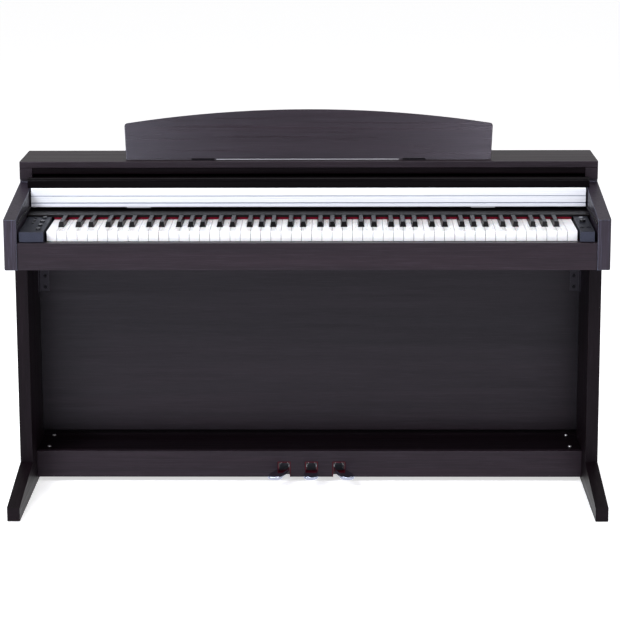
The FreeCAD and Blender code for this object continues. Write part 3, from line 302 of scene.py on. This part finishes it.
def control_panel():
    """Moulded panel with a fine spark-eroded texture; its near-black top is painted shade, its slate front face
    painted light, and its light rims painted highlights.
    """
    s = Shader("control_panel_lit_front", Specular_IOR_Level=0.15, IOR=1.35)
    geo = s.node("ShaderNodeNewGeometry")
    xyz = s.node("ShaderNodeSeparateXYZ")
    s.link(geo.outputs["True Normal"], xyz.inputs[0])
    # Painted light and shade: faces turned to the front get the lighter slate colour, the top faces the near-black
    # one.
    front = s.span(xyz.outputs["Y"], -0.5, -0.9, 0.0, 1.0)
    fine = s.noise(700.0, None, 2.0, 0.6)
    wide = s.noise(9.0, None, 4.0, 0.6)
    top = s.mix(s.span(wide, 0.3, 0.7, 0.0, 1.0), lin((15, 16, 21)), lin((22, 23, 29)))
    face = s.mix(s.span(wide, 0.3, 0.7, 0.0, 1.0), lin((38, 40, 51)), lin((46, 48, 60)))
    col = s.mix(front, top, face)
    col = s.mix(s.span(fine, 0.45, 0.75, 0.0, 0.3), col, lin((70, 73, 88)))
    edge_mask, rounded = s.edge(0.0010)
    s.out("Base Color", s.mix(s.math("MULTIPLY", edge_mask, 0.5), col, lin((96, 100, 118))))
    s.out("Roughness", s.span(s.math("ADD", fine, wide), 0.7, 1.3, 0.34, 0.44))
    s.bump([(fine, 0.4, 0.0002)], rounded)
    return s.mat


def silver_leaf():
    """Satin silver film with two fine grooves along it, shown as dark lines of painted shade."""
    s = Shader("leaf_silver", Metallic=0.15, Specular_IOR_Level=0.5)
    brush = s.noise(1.0, s.place(axis_scale("x", 8.0, 1400.0)), 3.0, 0.6)
    xyz = s.node("ShaderNodeSeparateXYZ")
    s.link(s.coord, xyz.inputs[0])
    col = s.mix(s.span(brush, 0.35, 0.7, 0.0, 0.5), lin((240, 242, 248)), lin((226, 229, 238)))
    # Painted shade: two darker lines stand for the shade in the grooves.
    for z, half in ((0.7115, 0.0012), (0.6945, 0.0016)):
        off = s.math("ABSOLUTE", s.math("SUBTRACT", xyz.outputs["Z"], z), 0.0)
        col = s.mix(s.span(off, half * 0.5, half * 1.4, 0.85, 0.0), col, lin((138, 144, 164)))
    s.out("Base Color", col)
    s.out("Roughness", s.span(brush, 0.3, 0.7, 0.24, 0.34))
    edge_mask, rounded = s.edge(0.0006)
    s.bump([(brush, 0.02, 0.0002)], rounded)
    return s.mat


M = {
    "wood_x": rosewood("rosewood_along_x", "x"),
    "wood_y": rosewood("rosewood_along_y", "y"),
    "wood_z": rosewood("rosewood_along_z", "z"),
    # One rosewood finish in several copies: the arm copy is painted lighter and bluer as painted light; the rear,
    # foot, leg, fascia, shelf and nose copies are painted darker as painted shade; the rest copy carries painted
    # highlight rims.
    "wood_rest": rosewood("rosewood_rest", "x", 0.24, 0.30, 0.34, 0.35, 0.8, (226, 216, 232), 0.0022, wave=0.1),
    "wood_rear": rosewood("rosewood_rear_shaded", "x", 0.15, 0.38, 0.22, 0.35, 0.35, (104, 90, 98), 0.0012, 0.05),
    "wood_arm": rosewood("rosewood_arm_lit", "z", 0.36, 0.38, 0.34, 0.9, 0.7, (190, 186, 204), 0.0022, 0.0, 1.5, (0.86, 1.08, 1.22)),
    "wood_foot": rosewood("rosewood_foot_shaded", "y", 0.12, 0.46, 0.08, ior=1.4, lit_side_colour=(140, 118, 134)),
    "wood_leg": rosewood("rosewood_leg_shaded", "z", 0.10, 0.42, 0.08, ior=1.4, lit_side_colour=(150, 128, 144)),
    "wood_fascia": rosewood("rosewood_fascia_shaded", "x", 0.07, 0.42, 0.06, ior=1.3),
    "wood_dark": rosewood("rosewood_shelf_shaded", "x", 0.10, 0.5, 0.08),
    "wood_nose": rosewood("rosewood_nose_shaded", "x", 0.04, 0.32, 0.06, ior=1.3),
    "back": plastic("back_board_black", lin((34, 30, 33)), lin((42, 38, 41)), 0.62, 0.3, 260.0, 0.5),
    "silver": silver_leaf(),
    "grip": plastic("grip_grey", lin((150, 150, 156)), lin((165, 165, 170)), 0.4),
    "strip": plastic("strip_black", lin((10, 8, 10)), lin((14, 11, 13)), 0.42, 0.08),
    "panel": control_panel(),
    "lining": felt("notch_felt", lin((70, 8, 22))),
    # The button, power button, black key and knob copies get bright edge colours as painted highlights.
    "button": plastic("button_dark", lin((10, 10, 14)), lin((16, 16, 20)), 0.25, 0.3, 900.0, 0.15, 0.0016, 0.3, 0.0, 0.9, lin((150, 152, 164))),
    "power": plastic("button_pearl", lin((104, 106, 112)), lin((120, 122, 128)), 0.28, 0.5, 900.0, 0.1, 0.001, 0.3, 0.0, 0.8, lin((210, 212, 216))),
    "white": ivory(),
    "black": plastic("key_black", lin((5, 5, 6)), lin((10, 9, 11)), 0.26, 0.3, 650.0, 0.18, 0.0010, 0.25, 0.0, 0.6, lin((70, 68, 74)), 1.25),
    "felt": felt("red_felt", lin((104, 12, 32))),
    "grille": None,
    "screw": screw(),
    "knob": plastic("knob_dark", lin((9, 9, 12)), lin((15, 15, 18)), 0.3, 0.3, 900.0, 0.15, 0.0008, 0.3, 0.0, 0.4, lin((96, 98, 108))),
    "chrome": metal("pedal_chrome", lin((168, 173, 190)), 0.07, None, 0.02, 0.0012),
    "moulded": plastic("moulded_black", lin((14, 13, 14)), lin((19, 18, 19)), 0.5, 0.25, 500.0, 0.4),
    "steel": metal("zinc_steel", lin((52, 50, 56)), 0.4, None, 0.12, 0.0006),
    "pcb": plastic("solder_mask", lin((18, 84, 46)), lin((24, 96, 52)), 0.35, 0.5, 300.0, 0.3),
    "rubber": plastic("foot_rubber", lin((26, 26, 27)), lin((34, 34, 34)), 0.8, 0.2, 400.0, 0.5),
}

USE = {
    "left_side_panel": "wood_arm", "right_side_panel": "wood_arm", "cheek_blocks": "wood_y", "top_board": "wood_x",
    "upper_fascia": "wood_fascia", "key_slip": "wood_x", "cover_nose": "wood_nose", "cover_panel": "wood_dark", "music_rest": "wood_rest",
    "legs": "wood_leg", "rear_rail": "wood_dark", "feet": "wood_foot", "pedal_shelf": "wood_dark", "rear_panel": "wood_rear",
    "pedal_board": "wood_x", "key_bed": "wood_dark", "cabinet_back": "back", "cover_leaf": "silver", "cover_grips": "grip",
    "fallboard_strip": "strip", "left_control_panel": "panel", "right_control_panel": "panel", "power_button": "power",
    "key_felt": "felt", "pedal_lining": "lining", "left_pedal": "chrome", "middle_pedal": "chrome", "right_pedal": "chrome",
    "keyboard_chassis": "moulded", "cover_shoes": "moulded", "cover_rails": "moulded", "rear_sockets": "moulded", "speakers": "moulded",
    "rest_hinges": "steel", "rest_hinge_leaves": "steel", "corner_brackets": "steel", "stand_screws": "screw", "pedal_frame": "steel",
    "main_board": "pcb", "foot_pads": "rubber", "volume_knob": "knob",
}
for name, obj in nodes.items():
    if name.startswith("key_") and name not in USE:
        kind = "black" if name.endswith("_sharp") else "white"
    elif "button" in name and name not in USE:
        kind = "button"
    else:
        kind = USE[name]
    obj.data.materials.clear()
    obj.data.materials.append(M[kind])


# ------------------------------------------------------- small details

def grille_cloth():
    """Black perforated sheet: round holes in a staggered pattern."""
    s = Shader("speaker_grille", Specular_IOR_Level=0.3, Roughness=0.5)
    dots = s.voronoi(330.0)
    hole = s.span(dots, 0.30, 0.36, 1.0, 0.0)
    grain = s.noise(700.0, None, 2.0, 0.6)
    col = s.mix(s.span(grain, 0.4, 0.7, 0.0, 0.5), lin((30, 29, 31)), lin((42, 41, 43)))
    s.out("Base Color", s.mix(hole, col, lin((3, 3, 3))))
    s.out("Roughness", s.span(hole, 0.0, 1.0, 0.42, 0.9))
    s.bump([(s.span(dots, 0.26, 0.40, 0.0, 1.0), 0.6, 0.0008), (grain, 0.15, 0.0002)])
    return s.mat


M["grille"] = grille_cloth()


def piece(name, bm, mat, body):
    mesh = bpy.data.meshes.new(name)
    bm.normal_update()
    bm.to_mesh(mesh)
    bm.free()
    mesh.materials.append(M[mat])
    o = bpy.data.objects.new(name, mesh)
    scene.collection.objects.link(o)
    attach(o, body)
    return o


def lathe(bm, profile, steps, place):
    """Turns (radius, height) points about Z, then moves them with a matrix; the profile is closed."""
    rings = []
    for r, h in profile:
        if r < 1e-7:
            rings.append([bm.verts.new(place @ Vector((0, 0, h)))])
        else:
            rings.append([bm.verts.new(place @ Vector((r * math.cos(2 * math.pi * i / steps), r * math.sin(2 * math.pi * i / steps), h))) for i in range(steps)])
    closed = len(rings[0]) > 1
    pairs = list(zip(rings, rings[1:])) + ([(rings[-1], rings[0])] if closed else [])
    for a, b in pairs:
        for i in range(steps):
            j = (i + 1) % steps
            if len(a) == 1 and len(b) == 1:
                continue
            if len(a) == 1:
                bm.faces.new((a[0], b[j], b[i])) if i < steps else None
            elif len(b) == 1:
                bm.faces.new((a[i], a[j], b[0]))
            else:
                bm.faces.new((a[i], a[j], b[j], b[i]))


def smooth(o):
    for poly in o.data.polygons:
        poly.use_smooth = True


def socket_collars():
    lo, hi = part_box("right_control_panel")
    slope = 5.5 / 172.5
    bm = bmesh.new()
    for x in (0.6345, 0.6495):
        y = -0.150
        z = 0.667 + slope * (0.055 - 0.009)
        place = Matrix.Translation((x, y, z)) @ Matrix.Rotation(math.atan(slope), 4, "X")
        lathe(bm, [(0.00325, -0.0012), (0.0055, -0.0012), (0.0058, 0.0002), (0.0056, 0.0007), (0.0050, 0.0009), (0.0040, 0.0008), (0.00325, 0.0003)], 40, place)
    bmesh.ops.recalc_face_normals(bm, faces=bm.faces)
    smooth(piece("socket_collars", bm, "strip", "cabinet"))


def speaker_grilles():
    lo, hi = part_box("key_bed")
    bm = bmesh.new()
    for x in (-0.5, 0.5):
        place = Matrix.Translation((x, 0.167, lo[2] + 0.0012))
        lathe(bm, [(0.0, 0.0), (0.020, 0.0001), (0.038, 0.0005), (0.047, 0.0010), (0.0505, 0.0004), (0.0518, 0.0004), (0.0518, 0.0030), (0.046, 0.0034), (0.020, 0.0024), (0.0, 0.0022)], 64, place)
    bmesh.ops.recalc_face_normals(bm, faces=bm.faces)
    smooth(piece("speaker_grilles", bm, "grille", "cabinet"))


def rest_highlight_strip():
    """Pale strip along the foot of the music rest, between its two hinges: a painted highlight for the light line
    along the rest's rounded bottom edge.
    """
    mesh = nodes["music_rest"].data
    front = max((p for p in mesh.polygons if p.normal.y < -0.5), key=lambda p: p.area)
    n = front.normal.normalized()
    along_up = Vector((1, 0, 0)).cross(n)
    if along_up.z < 0:
        along_up = -along_up
    foot = min((mesh.vertices[i].co for i in front.vertices), key=lambda c: c.z)
    base = Vector((0, foot.y, foot.z))
    bm = bmesh.new()
    x0, x1 = -0.222, 0.218
    rows = []
    for up, out in ((0.0004, 0.0), (0.0004, 0.00035), (0.0008, 0.0006), (0.0016, 0.0006), (0.0020, 0.00035), (0.0020, 0.0)):
        p = base + along_up * up + n * out
        rows.append([bm.verts.new((x, p.y, p.z)) for x in (x0, x0 + 0.0008, 0.0, x1 - 0.0008, x1)])
    for a, b in zip(rows, rows[1:]):
        for i in range(4):
            bm.faces.new((a[i], a[i + 1], b[i + 1], b[i]))
    bm.faces.new([r[0] for r in rows])
    bm.faces.new([r[-1] for r in rows])
    bmesh.ops.recalc_face_normals(bm, faces=bm.faces)
    piece("rest_painted_highlight_strip", bm, "grip", "rest")


def back_screws():
    """Countersunk cross-head screws along the edges of the cabinet's back board."""
    lo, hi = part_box("cabinet_back")
    bm = bmesh.new()
    spots = [(x, z) for x in (-0.62, -0.31, 0.0, 0.31, 0.62) for z in (hi[2] - 0.02,)]
    spots += [(x, lo[2] + 0.015) for x in (-0.62, -0.2, 0.2, 0.62)]
    for x, z in spots:
        place = Matrix.Translation((x, hi[1] - 0.0002, z)) @ Matrix.Rotation(math.radians(-90), 4, "X")
        lathe(bm, [(0.0, -0.0004), (0.0012, 0.0), (0.0030, 0.0003), (0.0037, 0.0001), (0.0039, -0.0006), (0.0, -0.0006)], 28, place)
        turn = 0.3 + 7.0 * x + z
        for k in (0, 1):
            spin = place @ Matrix.Rotation(turn + k * math.pi / 2, 4, "Z")
            vs = [bm.verts.new(spin @ Vector(c)) for c in ((-0.0022, -0.0004, 0.00034), (0.0022, -0.0004, 0.00034), (0.0022, 0.0004, 0.00034), (-0.0022, 0.0004, 0.00034))]
            bm.faces.new(vs)
    piece("back_board_screws", bm, "steel", "cabinet")


socket_collars()
speaker_grilles()
rest_highlight_strip()
back_screws()

# -------------------------------------------------------- floor, light

def floor():
    bpy.ops.mesh.primitive_plane_add(size=60.0, location=(0, 12.0, 0.0))
    o = bpy.context.object
    o.name = "studio_floor"
    mat = bpy.data.materials.new("studio_floor")
    mat.use_nodes = True
    b = mat.node_tree.nodes["Principled BSDF"]
    b.inputs["Base Color"].default_value = (0.9, 0.9, 0.91, 1.0)
    b.inputs["Roughness"].default_value = 0.9
    b.inputs["Specular IOR Level"].default_value = 0.1
    b.inputs["Emission Color"].default_value = (1.0, 1.0, 1.0, 1.0)
    b.inputs["Emission Strength"].default_value = 0.6
    o.data.materials.append(mat)


def light(name, at, aim, size, power, colour=(1, 1, 1)):
    data = bpy.data.lights.new(name, "AREA")
    data.shape = "RECTANGLE"
    data.size, data.size_y = size
    data.energy = power
    data.color = colour
    o = bpy.data.objects.new(name, data)
    scene.collection.objects.link(o)
    o.location = at
    o.rotation_mode = "QUATERNION"
    o.rotation_quaternion = (Vector(aim) - Vector(at)).to_track_quat("-Z", "Y")


floor()
world = bpy.data.worlds.new("studio")
world.use_nodes = True
world.node_tree.nodes["Background"].inputs["Color"].default_value = (1.0, 1.0, 1.0, 1.0)
world.node_tree.nodes["Background"].inputs["Strength"].default_value = 0.42
scene.world = world
light("key_softbox", (-2.6, -3.2, 2.9), (0.0, 0.0, 0.7), (1.6, 1.6), 175.0, (0.92, 0.95, 1.0))
light("fill_softbox", (2.2, -3.0, 2.9), (0.1, 0.0, 0.7), (1.0, 1.2), 30.0, (0.96, 0.96, 1.0))
light("rest_glow_left", (-1.15, -2.6, 2.5), (-0.35, 0.13, 0.85), (0.5, 0.5), 16.0, (0.92, 0.94, 1.0))
light("rest_glow_right", (0.98, -2.6, 2.45), (0.42, 0.13, 0.85), (0.35, 0.5), 20.0, (0.98, 0.94, 1.0))
light("top_softbox", (0.0, 0.6, 4.0), (0.0, 0.0, 0.8), (4.0, 2.0), 90.0)
